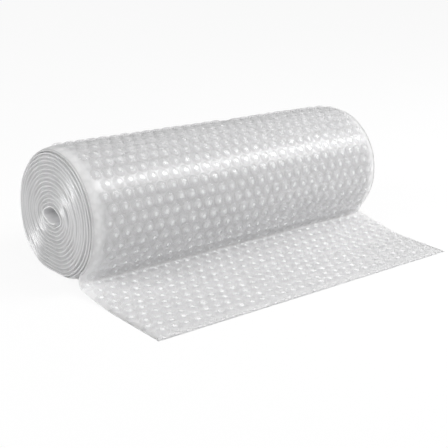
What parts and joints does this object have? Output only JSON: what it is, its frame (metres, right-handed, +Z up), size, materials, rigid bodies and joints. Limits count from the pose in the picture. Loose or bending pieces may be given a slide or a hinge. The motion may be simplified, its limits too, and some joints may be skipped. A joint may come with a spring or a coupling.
{
  "type": "bubble film roll",
  "caption": "Small coreless roll of clear air-bubble cushioning film on its side, with its loose end laid out in front; protects goods in parcels.",
  "frame": {"origin": "on the floor, under the middle of the roll's axis, at the centre of the flat spot that the roll rests on", "axes": "+X along the roll's axis, -Y towards the loose end, +Z up"},
  "size_m": [0.3, 0.1812, 0.1003],
  "materials": {
    "clear_film": "clear soft plastic film, glossy, milky white where layers lie over each other"
  },
  "bodies": {
    "root": {"bubble_film_roll": "clear_film"}
  },
  "joints": []
}
